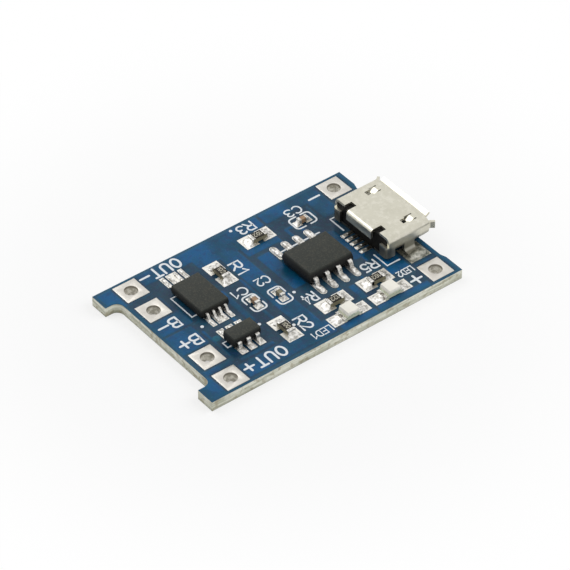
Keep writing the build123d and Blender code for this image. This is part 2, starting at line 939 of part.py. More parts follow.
# Socket housing: a block in the rear of the shell, its foot in the floor's opening, and the tongue
with BuildPart() as socket_housing:
    extrude(shell_section(shell_rear_x, shell_wall + housing_clearance), amount=housing_block_length)
    with BuildSketch(Plane.YZ.offset(shell_rear_x + housing_block_length)):
        with Locations((0, tongue_floor + tongue_thickness / 2)):
            RectangleRounded(tongue_width, tongue_thickness, tongue_edge_radius)
    extrude(amount=tongue_length)
    foot_depth = contact_opening_depth - housing_clearance
    with BuildSketch(Plane.XY.offset(land_top)):
        with Locations((shell_rear_x + foot_depth / 2, 0)):
            Rectangle(foot_depth, contact_opening_width - 2 * housing_clearance)
    extrude(amount=2 * shell_wall)
    add(socket_contacts.part, mode=Mode.SUBTRACT)
keep(socket_housing, "socket_housing")


# Socket lands and solder
contact_land_x = contact_toe_x - land_height + contact_land_length / 2
contact_lands = [(contact_land_x, y, contact_land_length, contact_land_width) for y in contact_offsets]
side_land_x = socket_edge_x - side_land_inset - side_land_length / 2
side_land_y = shell_width / 2 + side_land_reach - side_land_width / 2
side_lands = [(side_land_x, hand * side_land_y, side_land_length, side_land_width) for hand in (1, -1)]
keep(flat_lands(contact_lands + side_lands), "socket_lands")

contact_joint_x = contact_toe_x - land_height + solder_margin + contact_solder_length / 2
side_joint_x = shell_front_x - tab_inset - tab_length / 2
side_joint_y = shell_width / 2 + tab_bend_radius + side_solder_width / 2
with BuildPart() as socket_solder:
    for offset_y in contact_offsets:
        with BuildSketch(seat_on_lands(contact_joint_x, offset_y)):
            Rectangle(contact_solder_length, contact_land_width - 2 * solder_margin)
        extrude(amount=contact_solder_height, taper=solder_slope / 2)
    for hand in (1, -1):
        with BuildSketch(seat_on_lands(side_joint_x, hand * side_joint_y)):
            RectangleRounded(side_solder_length, side_solder_width, side_solder_radius)
        extrude(amount=side_solder_height, taper=solder_slope)
    add(socket_contacts.part, mode=Mode.SUBTRACT)
    add(socket_shell.part, mode=Mode.SUBTRACT)
keep(socket_solder, "socket_solder")
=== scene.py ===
import math

import bmesh
import bpy
import numpy as np
from mathutils import Matrix, Vector


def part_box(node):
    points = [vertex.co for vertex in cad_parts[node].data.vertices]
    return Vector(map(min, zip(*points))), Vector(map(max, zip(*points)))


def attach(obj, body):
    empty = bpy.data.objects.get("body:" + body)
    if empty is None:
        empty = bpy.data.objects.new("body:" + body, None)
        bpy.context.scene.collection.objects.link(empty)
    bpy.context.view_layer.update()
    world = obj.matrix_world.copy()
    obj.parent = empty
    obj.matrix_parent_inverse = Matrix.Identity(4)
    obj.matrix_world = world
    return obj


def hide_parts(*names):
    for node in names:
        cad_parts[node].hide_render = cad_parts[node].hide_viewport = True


# Looks of the lithium battery charger module: lacquered board, white print, smooth solder and
# moulded chips. Sizes are in millimetres, and every mesh is brought to metres as it is made.

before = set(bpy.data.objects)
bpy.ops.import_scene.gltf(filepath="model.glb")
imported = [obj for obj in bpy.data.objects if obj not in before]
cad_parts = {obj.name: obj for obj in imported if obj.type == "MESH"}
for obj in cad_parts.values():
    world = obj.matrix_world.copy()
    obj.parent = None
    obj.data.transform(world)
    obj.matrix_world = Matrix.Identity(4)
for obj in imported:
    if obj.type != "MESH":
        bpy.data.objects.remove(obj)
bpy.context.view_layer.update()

MM = 0.001

# Board outline, as the board itself has it
end_notch_depth = 1.4
end_notch_width = 13.2
end_notch_radius = 0.75
socket_step_depth = 0.2
socket_step_width = 11.6
socket_step_run = 0.6

# Lacquer over the board and its copper
lacquer_cell = 0.11
lacquer_inset = 0.03
lacquer_thickness = 0.012
lacquer_root = 0.02
lacquer_margin = 0.5
copper_thickness = 0.02
copper_slope = 0.14
copper_corner = 0.15
pad_channel = 0.2
pad_opening = 0.85
covered_hole_radius = 0.36
covered_hole_bore = 0.1
covered_hole_fade = 0.12
lacquer_turn = 50

# White print
print_height = 0.045
print_root = 0.99
bold_stroke = 0.215
label_stroke = 0.18
small_stroke = 0.15
tiny_stroke = 0.12
frame_stroke = 0.16
digit_stroke = 0.065
dot_stroke = 0.32
stroke_sides = 16
stroke_step = 0.002
stroke_levels = 5
bend = 20
letter_gap = 0.2
big_letter_gap = 0.28
digit_gap = 0.3
digit_size = (0.78, 0.42)
digit_root = 0.02
digit_rise = 0.01

# Smooth solder
charger_land_width = 0.64
charger_land_reach = 1.35
solder_rows = 15
solder_columns = 13
solder_tuck = 0.06
solder_turn = 60
square_end = 60.0
round_end = 6.0
seam_distance = 0.0005
contact_count = 5
contact_pitch = 0.65
contact_reach = 0.5
tab_joint = (12.05, 3.95)

# Mounds of solder: length, width, height, and the share of its width that a mound starts with
mound_sizes = {
    "resistor_fillets": (0.76, 1.5, 0.42, 0.56),
    "capacitor_fillets": (0.42, 0.7, 0.4, 0.72),
    "lamp_fillets": (1.0, 1.24, 0.26, 0.7),
    "charger_drops": (1.56, 0.66, 0.3, 0.75),
    "transistor_drops": (1.22, 0.42, 0.2, 0.8),
    "protector_drops": (0.82, 0.62, 0.2, 0.8),
    "contact_drops": (0.78, 0.5, 0.17, 0.4),
    "tab_drops": (1.2, 1.9, 0.4, 0.85),
}

# Chips: leads in a row, their pitch, and how far inside the lands' outer ends their solder starts
lead_rows = {
    "charger_chip": (4, 1.27, 1.6),
    "transistor": (4, 0.65, 1.25),
    "protector": (3, 0.95, 0.85),
}

# Marks in the chips and pads
dimple_radius = 0.2
dimple_inset = (0.62, 0.7)
wire_hole_radius = 0.6

# Rounded edges, and the angles and distance used when a form is cleaned and shaded
mould_edge = 0.05
lead_edge = 0.018
cap_edge = 0.025
glaze_edge = 0.015
lens_edge = 0.06
pad_edge = 0.03
sharp_turn = 30
grown_turn = 35
flat_turn = 0.5
weld_distance = 0.0002

# Camera, from the photo's perspective
aim = Vector((0.452, -0.414, 0.817))
view_direction = Vector((-0.4661, -0.5909, 0.6585))
view_distance = 312.87
lens = 227.11
sensor = 36.0
near_clip = 10.0
far_clip = 10000.0

# Light
sky_level = 0.42
key_place = Vector((-50.0, 135.0, 172.0))
key_size = 150.0
key_power = 0.15
fill_place = Vector((150.0, -88.0, 148.0))
fill_size = 180.0
fill_power = 0.23
floor_reach = 1500
floor_level = -0.02
floor_glow = 0.68
floor_fade_start = 15.0
floor_fade_end = 40.0


# Places taken from the frame

def corners(node):
    """Lowest and highest corner of a node, in millimetres."""
    low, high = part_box(node)
    return low / MM, high / MM


def middle(node):
    low, high = corners(node)
    return (low + high) / 2


def runs_along_y(node):
    low, high = corners(node)
    return high.y - low.y > high.x - low.x


board_low, board_high = corners("circuit_board")
board_top = board_high.z
land_top = corners("resistor_lands")[1].z
terminals = [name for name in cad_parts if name.endswith("_terminal")]
pad_low, pad_high = corners(terminals[0])
pad_side = pad_high.x - pad_low.x


# Nodes as expressions

class Wire:
    """An output socket in a node tree. Arithmetic on it adds Math nodes."""

    def __init__(self, graph, socket):
        self.graph = graph
        self.socket = socket

    def __add__(self, other):
        return self.graph.maths("ADD", self, other)

    def __sub__(self, other):
        return self.graph.maths("SUBTRACT", self, other)

    def __rsub__(self, other):
        return self.graph.maths("SUBTRACT", other, self)

    def __mul__(self, other):
        return self.graph.maths("MULTIPLY", self, other)

    def __truediv__(self, other):
        return self.graph.maths("DIVIDE", self, other)

    def __pow__(self, other):
        return self.graph.maths("POWER", self, other)

    def __abs__(self):
        return self.graph.maths("ABSOLUTE", self)

    __radd__ = __add__
    __rmul__ = __mul__


class Graph:
    """A node tree that is filled in by calls."""

    def __init__(self, tree):
        self.tree = tree

    def node(self, kind, settings=None, sockets=None, output=0):
        """Adds a node: its settings first, then values or links for its sockets."""
        node = self.tree.nodes.new(kind)
        for name, value in (settings or {}).items():
            setattr(node, name, value)
        for key, value in (sockets or {}).items():
            for one in value if isinstance(value, list) else [value]:
                if isinstance(one, Wire):
                    self.tree.links.new(one.socket, node.inputs[key])
                else:
                    node.inputs[key].default_value = one
        return Wire(self, node.outputs[output]) if node.outputs else None

    def maths(self, operation, *values):
        return self.node("ShaderNodeMath", {"operation": operation}, dict(enumerate(values)))

    def mix(self, factor, first, second):
        """A colour between two others."""
        sockets = {0: factor, 6: first, 7: second}
        return self.node("ShaderNodeMix", {"data_type": "RGBA"}, sockets, output=2)

    def between(self, value, low, high):
        """0 below low, 1 above high, and smooth in between."""
        sockets = {"Value": value, "From Min": low, "From Max": high}
        return self.node("ShaderNodeMapRange", {"interpolation_type": "SMOOTHSTEP"}, sockets)

    def place(self):
        return self.node("ShaderNodeTexCoord", output="Object")

    def axis(self, name):
        """One coordinate of the surface, in millimetres."""
        return self.node("ShaderNodeSeparateXYZ", sockets={0: self.place()}, output=name) / MM

    def noise(self, size, detail=2.0, stretch=(1.0, 1.0, 1.0)):
        """Cloudy noise whose patches are about size millimetres across."""
        vector = self.node("ShaderNodeMapping", sockets={"Vector": self.place(), "Scale": stretch})
        sockets = {"Vector": vector, "Scale": 1 / (size * MM), "Detail": detail}
        return self.node("ShaderNodeTexNoise", sockets=sockets)

    def attribute(self, name):
        """In a material, a number that the mesh holds at each point."""
        return self.node("ShaderNodeAttribute", {"attribute_name": name}, output="Fac")

    def held(self, name):
        """In a geometry tree, a number that the mesh holds at each point."""
        return self.node("GeometryNodeInputNamedAttribute", {"data_type": "FLOAT"}, {"Name": name})

    def bump(self, height, depth):
        """A normal from a height of 0 to 1, where 1 is depth millimetres."""
        sockets = {"Height": height, "Distance": depth * MM}
        return self.node("ShaderNodeBump", sockets=sockets)

    def viewed(self):
        """1 on what the camera sees, also where metal mirrors it or glass lets it through."""
        kinds = ("Camera", "Glossy", "Transmission")
        seen = [self.node("ShaderNodeLightPath", output=f"Is {kind} Ray") for kind in kinds]
        return self.maths("MAXIMUM", self.maths("MAXIMUM", seen[0], seen[1]), seen[2])


def blank_graph(owner):
    """The node tree of a material or a world, emptied."""
    owner.use_nodes = True
    owner.node_tree.nodes.clear()
    return Graph(owner.node_tree)


def paint(code):
    """A hex colour as the linear colour that the nodes take."""
    channels = [int(code[place:place + 2], 16) / 255 for place in (1, 3, 5)]
    linear = [c / 12.92 if c <= 0.04045 else ((c + 0.055) / 1.055) ** 2.4 for c in channels]
    return (*linear, 1.0)


def finish(name, dress, **constants):
    """A material: dress gives the sockets that vary over the surface, and constants the others."""
    material = bpy.data.materials.new(name)
    graph = blank_graph(material)
    sockets = {key.replace("_", " "): value for key, value in constants.items()}
    sockets.update(dress(graph))
    shader = graph.node("ShaderNodeBsdfPrincipled", sockets=sockets)
    graph.node("ShaderNodeOutputMaterial", sockets={"Surface": shader})
    return material


# Finishes

def dress_lacquer(graph):
    """Blue lacquer: clear blue over copper, duller where it lies on bare laminate."""
    copper = graph.attribute("copper")
    covered = graph.attribute("covered")
    margin = graph.attribute("margin")
    cloud = graph.noise(3.0, detail=3.0)
    fleck = graph.noise(0.14, detail=2.0)
    tint = graph.noise(0.45, detail=2.0)
    patches = graph.between(cloud, 0.35, 0.65)
    over_copper = graph.mix(patches, paint("#024460"), paint("#075688"))
    over_laminate = graph.mix(patches, paint("#14354b"), paint("#274559"))
    tone = graph.mix(copper, over_laminate, over_copper)
    greener = graph.mix(graph.between(tint, 0.5, 0.68) * 0.4, tone, paint("#085068"))
    redder = graph.mix(graph.between(tint, 0.32, 0.5) * -0.35 + 0.35, greener, paint("#22345c"))
    thinned = graph.mix(margin * 0.45, redder, paint("#0f6484"))
    ringed = graph.mix(covered * 0.4, thinned, paint("#1f7a8c"))
    speckled = graph.mix(graph.between(fleck, 0.56, 0.75) * 0.16, ringed, paint("#4a7ca6"))
    waves = graph.noise(0.5, detail=2.0)
    return {
        "Base Color": speckled,
        "Roughness": 0.2 + 0.14 * cloud,
        "Normal": graph.bump(waves, 0.006),
    }


def dress_board(graph):
    """Pale glass-fibre laminate on the cut edges, blue lacquer on the two faces."""
    height = graph.axis("Z") / board_top
    layers = graph.noise(0.9, detail=4.0, stretch=(0.35, 0.35, 4.0))
    blotches = graph.noise(1.4, detail=3.0)
    stains = graph.noise(0.5, detail=3.0)
    edge = graph.mix(graph.between(layers, 0.3, 0.7), paint("#bcbeab"), paint("#f0f0e2"))
    stained = graph.mix(graph.between(stains, 0.5, 0.66) * 0.6, edge, paint("#a2977a"))
    dusty = graph.mix(graph.between(blotches, 0.5, 0.7) * 0.45, stained, paint("#f3f3e8"))
    shaded = graph.mix(graph.between(height, 0.05, 0.5) * -0.35 + 0.35, dusty, paint("#8f9079"))
    face = graph.between(abs(height - 0.5), 0.485, 0.498)
    cloud = graph.noise(3.0, detail=3.0)
    blue = graph.mix(cloud, paint("#06456f"), paint("#0d5486"))
    tint = graph.noise(0.45, detail=2.0)
    mottled = graph.mix(graph.between(tint, 0.5, 0.7) * 0.35, blue, paint("#0b5468"))
    return {
        "Base Color": graph.mix(face, shaded, mottled),
        "Roughness": 0.8 - 0.5 * face,
        "Normal": graph.bump(layers * (1 - face), 0.03),
    }


def dress_tin(graph):
    """Hot-dipped tin: bright, a little uneven, with faint cloudy patches."""
    waves = graph.noise(1.1, detail=1.0)
    cloud = graph.noise(0.5, detail=3.0)
    return {
        "Base Color": graph.mix(cloud, paint("#dcd8ce"), paint("#f8f6f0")),
        "Roughness": 0.3 + 0.25 * cloud,
        "Normal": graph.bump(waves, 0.05),
    }


def dress_wire_pad(graph):
    """A tinned pad, with a dark line round its hole and a duller barrel."""
    spots = sorted({(middle(name).x, abs(middle(name).y)) for name in terminals})
    reach = None
    for spot_x, spot_y in spots:
        run = ((graph.axis("X") - spot_x) ** 2 + (abs(graph.axis("Y")) - spot_y) ** 2) ** 0.5
        reach = graph.maths("MINIMUM", reach, run) if reach else run
    inner = 1 - graph.between(reach, wire_hole_radius + 0.02, wire_hole_radius + 0.06)
    barrel = inner * (1 - graph.between(graph.axis("Z"), land_top - 0.34, land_top - 0.06))
    rim = inner * (1 - barrel)
    waves = graph.noise(1.1, detail=1.0)
    cloud = graph.noise(0.45, detail=3.0)
    plate = graph.mix(cloud, paint("#c8c4bc"), paint("#dfdbd4"))
    stains = graph.between(graph.noise(0.35, detail=3.0), 0.35, 0.65)
    sleeve = graph.mix(stains, paint("#b9b5a8"), paint("#faf7ee"))
    dull = graph.mix(barrel, plate, sleeve)
    return {
        "Base Color": graph.mix(rim * 0.7, dull, paint("#6a6458")),
        "Metallic": 1 - barrel * 0.8,
        "Roughness": 0.3 + 0.2 * cloud,
        "Normal": graph.bump(waves, 0.05),
    }


def dress_shell(graph):
    """Tin-plated sheet steel: warm in tone and faintly stained, with painted shade on its lower
    part and more painted shade at its rear ears.
    """
    grain = graph.noise(0.08, detail=3.0)
    stain = graph.noise(1.8, detail=4.0)
    # This noise frays the edge of the painted shade below.
    shade_fraying = graph.noise(0.5, detail=3.0)
    rear = corners("socket_shell")[0].x
    # Painted shade: the shell darkens towards the board, and darker still at its rear ears.
    foot = 1 - graph.between(graph.axis("Z") + shade_fraying * 0.4, board_top + 1.15, board_top + 1.7)
    ear = 1 - graph.between(graph.axis("X"), rear + 0.5, rear + 1.0)
    ear = ear * (1 - graph.between(graph.axis("Z") + shade_fraying * 0.4, board_top + 1.4, board_top + 1.8))
    tone = graph.mix(stain, paint("#c6c3b3"), paint("#d8d5c7"))
    mottle = graph.noise(0.4, detail=3.0)
    tone = graph.mix(graph.between(mottle, 0.45, 0.7) * 0.45, tone, paint("#e6e3d7"))
    tone = graph.mix(graph.between(grain, 0.58, 0.78) * 0.4, tone, paint("#aaa596"))
    # Painted shade on the lower part of the shell.
    tone = graph.mix(foot * 0.7, tone, paint("#75736a"))
    return {
        # Painted shade at the rear ears.
        "Base Color": graph.mix(ear * 0.7, tone, paint("#4f4e48")),
        "Roughness": 0.27 + 0.16 * stain + 0.1 * foot,
        "Normal": graph.bump(grain, 0.004),
    }


def resin_finish(chip, dimple=None):
    """Moulded charcoal resin: a sandy top, sides painted dark as shade and darkest towards the
    foot, and a dimple where one is given.
    """
    foot, top = [corner.z for corner in corners(f"{chip}_body")]

    def dress(graph):
        grain = graph.noise(0.13, detail=3.0)
        cloud = graph.noise(1.2, detail=3.0)
        # Painted shade: the sides are darker than the top, and darker still towards the foot.
        level = graph.between(graph.axis("Z"), top - 0.3, top - 0.04)
        rise = graph.between(graph.axis("Z"), foot + 0.2, (foot + top) / 2)
        side = graph.mix(rise, paint("#080807"), paint("#171715"))
        tone = graph.mix(cloud, paint("#272a27"), paint("#333631"))
        speck = graph.noise(0.32, detail=2.0)
        tone = graph.mix(graph.between(speck, 0.5, 0.7) * 0.35, tone, paint("#46433a"))
        sandy = graph.mix(graph.between(grain, 0.48, 0.7) * 0.45, tone, paint("#53534a"))
        height = grain * 0.25
        if dimple:
            x, y = dimple
            run = ((graph.axis("X") - x) ** 2 + (graph.axis("Y") - y) ** 2) ** 0.5
            height = height + graph.between(run, dimple_radius - 0.06, dimple_radius)
            worn = graph.between(run, 0.0, dimple_radius) * -0.4 + 0.4
            sandy = graph.mix(worn, sandy, paint("#55544d"))
        return {
            # Painted shade on the sides below the top.
            "Base Color": graph.mix(level, side, sandy),
            "Roughness": 0.5 + 0.2 * grain,
            "Normal": graph.bump(height, 0.05),
        }

    return finish(f"{chip}_resin", dress, Specular_IOR_Level=0.3)


def dress_contact(graph):
    """Thin plating over bronze, with painted shade where it runs in under the socket."""
    streaks = graph.noise(0.2, detail=3.0, stretch=(0.3, 1.0, 1.0))
    toe = corners("socket_contacts")[0].x
    # Painted shade: the contacts darken where they run in under the shell.
    inner = graph.between(graph.axis("X"), toe + 0.3, toe + 0.6)
    tone = graph.mix(inner, paint("#bdb9ae"), paint("#4a4740"))
    return {
        "Base Color": graph.mix(streaks * 0.3, tone, paint("#8b867a")),
        "Roughness": 0.3 + 0.2 * streaks,
        "Normal": graph.bump(streaks, 0.01),
    }


def dress_lens(graph):
    """Cloudy cream lens, a little greener towards its base."""
    cloud = graph.noise(0.6, detail=3.0)
    low = corners("lamp_1_lens")[0].z
    depth = graph.between(graph.axis("Z"), low, low + 0.42)
    top = graph.mix(cloud, paint("#f7f3e6"), paint("#fffcf2"))
    flecks = graph.between(graph.noise(0.16, detail=2.0), 0.52, 0.6)
    foot = graph.mix(flecks * 0.75, paint("#dcdfba"), paint("#6f9c7e"))
    return {
        "Base Color": graph.mix(depth, foot, top),
        "Roughness": 0.3 + 0.2 * cloud,
        "Normal": graph.bump(cloud, 0.03),
    }


def fine_finish(name, size, dark, pale, rough, relief, detail=3.0, contrast=None, **constants):
    """A material whose colour, roughness and relief all follow one fine noise.

    rough is the least roughness and what the noise adds to it. contrast is the part of the
    noise's range over which the colour goes from dark to pale.
    """
    def dress(graph):
        grain = graph.noise(size, detail)
        share = graph.between(grain, *contrast) if contrast else grain
        least, more = rough
        sockets = {
            "Base Color": graph.mix(share, paint(dark), paint(pale)),
            "Roughness": least + more * grain,
        }
        if relief:
            sockets["Normal"] = graph.bump(grain, relief)
        return sockets

    return finish(name, dress, **constants)


lacquer = finish("blue_lacquer", dress_lacquer, Specular_IOR_Level=0.25)
laminate = finish("laminate_and_lacquer", dress_board, Specular_IOR_Level=0.25)
tin = finish("bright_tin", dress_tin, Metallic=1.0)
wire_pad_tin = finish("wire_pad_tin", dress_wire_pad)
solder = fine_finish(
    "bright_solder", 0.28, "#a8a59e", "#eeece8", (0.38, 0.25), 0.05,
    contrast=(0.33, 0.64), Metallic=1.0,
)
# The large joints beside the socket are grey and grainy
dull_solder = fine_finish(
    "dull_solder", 0.45, "#82837a", "#c8c6bc", (0.3, 0.25), 0.12,
    detail=4.0, contrast=(0.35, 0.65), Metallic=1.0,
)
plated_steel = finish("plated_sheet_steel", dress_shell, Metallic=1.0)
housing_plastic = fine_finish(
    "black_housing", 0.07, "#0b0b0a", "#191816", (0.5, 0.2), 0.006,
    detail=2.0, Specular_IOR_Level=0.15,
)
tinned_lead = fine_finish(
    "tinned_lead", 0.16, "#a6a39c", "#ebe9e4", (0.25, 0.25), 0.012,
    contrast=(0.34, 0.64), Metallic=1.0,
)
contact_plating = finish("contact_plating", dress_contact, Metallic=1.0)
# The resistors' white alumina sides are coloured dark olive, as painted shade.
resistor_ceramic = fine_finish("resistor_ceramic", 0.1, "#6f6a52", "#968f76", (0.6, 0.2), 0.01)
black_glaze = fine_finish(
    "black_glaze", 0.25, "#15120e", "#26211a", (0.35, 0.25), 0.012,
    detail=2.0, Specular_IOR_Level=0.25,
)
tan_ceramic = fine_finish("tan_ceramic", 0.12, "#86694f", "#bb9b7c", (0.45, 0.25), 0.01)
olive_ceramic = fine_finish("olive_ceramic", 0.12, "#6c6650", "#9a927a", (0.45, 0.25), 0.01)
lamp_laminate = fine_finish("lamp_laminate", 0.15, "#c9cfae", "#e8e9d4", (0.5, 0.2), 0.01)
cream_lens = finish("cream_lens", dress_lens, Coat_Weight=0.4, Coat_Roughness=0.1)
white_ink = fine_finish("white_ink", 0.25, "#dfe6ec", "#f7f9fa", (0.5, 0.2), 0.006)
digit_ink = fine_finish("digit_ink", 0.1, "#b9b4a0", "#dedac9", (0.5, 0.2), 0.0, detail=2.0)


# Making pieces

def placed(name, data):
    """A new object in the scene."""
    thing = bpy.data.objects.new(name, data)
    bpy.context.scene.collection.objects.link(thing)
    return thing


def new_piece(name, mesh, material, replaced=()):
    """A finished piece from a mesh in metres. It may stand for CAD nodes."""
    piece = placed(name, mesh)
    mesh.materials.clear()
    mesh.materials.append(material)
    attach(piece, "root")
    if replaced:
        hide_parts(*replaced)
    return piece


def smooth_below(mesh, degrees):
    """Smooth shading, except across edges that turn more than so many degrees."""
    mesh.polygons.foreach_set("use_smooth", [True] * len(mesh.polygons))
    mesh.set_sharp_from_angle(angle=math.radians(degrees))


def softened(node, name, material, width=0.0):
    """A copy of a CAD node that stands for it, with its hard edges rounded by width."""
    form = bmesh.new()
    form.from_mesh(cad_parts[node].data)
    bmesh.ops.remove_doubles(form, verts=form.verts, dist=weld_distance * MM)
    flat = math.radians(flat_turn)
    bmesh.ops.dissolve_limit(form, angle_limit=flat, verts=form.verts, edges=form.edges)
    if width:
        hard = [edge for edge in form.edges if edge.is_manifold]
        hard = [edge for edge in hard if edge.calc_face_angle() > math.radians(sharp_turn)]
        bmesh.ops.bevel(
            form,
            geom=hard,
            offset=width * MM,
            segments=2,
            profile=0.5,
            affect="EDGES",
            clamp_overlap=True,
        )
    bmesh.ops.recalc_face_normals(form, faces=form.faces)
    mesh = bpy.data.meshes.new(name)
    form.to_mesh(mesh)
    form.free()
    smooth_below(mesh, sharp_turn)
    return new_piece(name, mesh, material, [node])


def hold(mesh, name, values):
    """Gives a mesh a number at each of its points, which materials and trees can read."""
    mesh.attributes.new(name, "FLOAT", "POINT").data.foreach_set("value", values)


def paint_node(node, material):
    """A CAD node keeps its shape and gets a finish."""
    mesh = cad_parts[node].data
    mesh.materials.clear()
    mesh.materials.append(material)


def growth(name, sizes, build):
    """A geometry tree with named sizes. build gives the geometry that comes out of it."""
    tree = bpy.data.node_groups.new(name, "GeometryNodeTree")
    tree.interface.new_socket("Geometry", in_out="INPUT", socket_type="NodeSocketGeometry")
    for size in sizes:
        tree.interface.new_socket(size, in_out="INPUT", socket_type="NodeSocketFloat")
    tree.interface.new_socket("Material", in_out="INPUT", socket_type="NodeSocketMaterial")
    tree.interface.new_socket("Geometry", in_out="OUTPUT", socket_type="NodeSocketGeometry")
    graph = Graph(tree)
    entry = tree.nodes.new("NodeGroupInput")
    given = {socket.name: Wire(graph, socket) for socket in entry.outputs if socket.name}
    grown = build(graph, given)
    whole = graph.node("GeometryNodeRealizeInstances", sockets={"Geometry": grown})
    coated = graph.node(
        "GeometryNodeSetMaterial",
        sockets={"Geometry": whole, "Material": given["Material"]},
    )
    leave = tree.nodes.new("NodeGroupOutput")
    tree.links.new(coated.socket, leave.inputs["Geometry"])
    return tree


def grow(name, mesh, tree, values, material, replaced=(), degrees=grown_turn):
    """Runs a geometry tree on a mesh and makes a plain piece of what comes out."""
    seed = placed(name + "_seed", mesh)
    modifier = seed.modifiers.new("growth", "NODES")
    modifier.node_group = tree
    for item in tree.interface.items_tree:
        if item.name in values:
            modifier[item.identifier] = values[item.name]
        if item.name == "Material":
            modifier[item.identifier] = material
    graph = bpy.context.evaluated_depsgraph_get()
    grown = bpy.data.meshes.new_from_object(seed.evaluated_get(graph), depsgraph=graph)
    bpy.data.objects.remove(seed)
    grown.name = name
    smooth_below(grown, degrees)
    return new_piece(name, grown, material, replaced)


# Lacquer: one sheet over the board, raised where there is copper under it

# Copper areas under the lacquer: left, right, front and back edge
copper_areas = [
    (-13.5, -4.75, 6.8, 8.3),
    (-13.5, -9.3, 5.7, 8.3),
    (-4.9, 3.85, 6.85, 8.3),
    (-4.2, 0.1, 5.6, 8.3),
    (4.15, 10.5, 6.85, 8.3),
    (8.7, 10.5, 4.3, 8.3),
    (-12.15, -9.25, 0.5, 5.0),
    (-9.4, -8.85, 0.5, 2.6),
    (-12.15, -9.35, -2.45, 0.25),
    (-12.15, -9.35, -5.8, -5.0),
    (-13.5, -9.35, -8.35, -5.9),
    (-9.5, 0.2, -8.05, -6.25),
    (-2.05, -0.15, -8.05, 8.3),
    (0.62, 1.95, -1.5, 3.8),
    (0.15, 1.9, 4.3, 8.3),
    (0.15, 3.8, 4.3, 5.05),
    (-4.95, -4.4, -2.6, 2.2),
    (4.45, 5.05, -6.2, -4.2),
    (8.3, 10.5, -5.3, -4.35),
    (7.2, 8.2, -1.8, 2.6),
    (0.7, 4.5, -8.35, -7.75),
    (4.8, 10.4, -8.35, -7.75),
    (13.2, 13.6, -8.35, -3.6),
    (13.2, 13.6, 6.0, 8.3),
    (10.8, 13.0, -5.7, -5.5),
    (8.7, 10.4, -4.2, -2.4),
    (-8.6, -5.0, -6.0, -5.6),
    (-9.1, -8.85, -4.9, -0.9),
]

# Copper tracks under the lacquer: width and corner points
copper_tracks = [
    (0.28, [(-3.2, -1.9), (-3.2, -3.5)]),
    (0.28, [(-2.35, 2.3), (-2.35, -1.2), (-2.7, -1.6)]),
    (0.3, [(4.93, 4.1), (4.93, 5.2), (6.1, 5.2)]),
    (0.3, [(6.2, 4.1), (6.2, 4.6)]),
    (0.3, [(3.65, 4.1), (3.65, 4.5)]),
    (0.28, [(6.2, -3.9), (6.2, -4.4)]),
    (0.28, [(3.65, -3.9), (3.4, -4.4)]),
    (0.28, [(7.4, 5.2), (8.3, 5.2), (8.3, 6.4)]),
    (0.28, [(-5.9, -1.2), (-5.9, -1.8)]),
    (0.28, [(-0.9, -2.3), (-0.9, -3.0)]),
    (0.25, [(8.5, -1.3), (8.0, -1.9), (8.0, -2.4)]),
]

# Plated holes that the lacquer covers
covered_holes = [(-8.6, -2.45)]


def box_distance(x, y, left, right, low, high, corner=0.0):
    """Signed distance to a box with rounded corners, negative inside."""
    across = np.abs(x - (left + right) / 2) - (right - left) / 2 + corner
    along = np.abs(y - (low + high) / 2) - (high - low) / 2 + corner
    outside = np.hypot(np.maximum(across, 0), np.maximum(along, 0))
    return outside + np.minimum(np.maximum(across, along), 0) - corner


def track_distance(x, y, width, points):
    """Signed distance to a track of a width through points."""
    nearest = np.full(x.shape, np.inf)
    for (x1, y1), (x2, y2) in zip(points, points[1:]):
        run_x, run_y = x2 - x1, y2 - y1
        share = np.clip(((x - x1) * run_x + (y - y1) * run_y) / (run_x ** 2 + run_y ** 2), 0, 1)
        nearest = np.minimum(nearest, np.hypot(x - x1 - share * run_x, y - y1 - share * run_y))
    return nearest - width / 2


def outline_distance(x, y):
    """Signed distance to the board's outline, negative on the board."""
    half_width = board_high.y
    step = np.clip((socket_step_width / 2 + socket_step_run - np.abs(y)) / socket_step_run, 0, 1)
    right = board_high.x - socket_step_depth * step
    board = np.maximum(np.maximum(np.abs(y) - half_width, x - right), board_low.x - x)
    notch = box_distance(
        x,
        y,
        board_low.x - end_notch_depth,
        board_low.x + end_notch_depth,
        -end_notch_width / 2,
        end_notch_width / 2,
        end_notch_radius,
    )
    return np.maximum(board, -notch)


def copper_share(x, y):
    """1 where there is copper under the lacquer, 0 where there is none."""
    reach = np.full(x.shape, np.inf)
    for area in copper_areas:
        reach = np.minimum(reach, box_distance(x, y, *area, copper_corner))
    for name in terminals:
        centre = middle(name)
        half = pad_side / 2
        pad = (centre.x - half, centre.x + half, centre.y - half, centre.y + half)
        reach = np.maximum(reach, pad_channel - box_distance(x, y, *pad))
    for track in copper_tracks:
        reach = np.minimum(reach, track_distance(x, y, *track))
    for hole_x, hole_y in covered_holes:
        ring = np.hypot(x - hole_x, y - hole_y)
        lining = np.maximum(ring - covered_hole_radius, covered_hole_bore - ring)
        reach = np.minimum(reach, lining)
    share = np.clip(0.5 - reach / copper_slope, 0, 1)
    return share * share * (3 - 2 * share)


def covered_share(x, y):
    """1 over the plated holes that the lacquer covers."""
    reach = np.full(x.shape, np.inf)
    for hole_x, hole_y in covered_holes:
        reach = np.minimum(reach, np.hypot(x - hole_x, y - hole_y))
    return np.clip((covered_hole_radius - reach) / covered_hole_fade + 0.5, 0, 1)


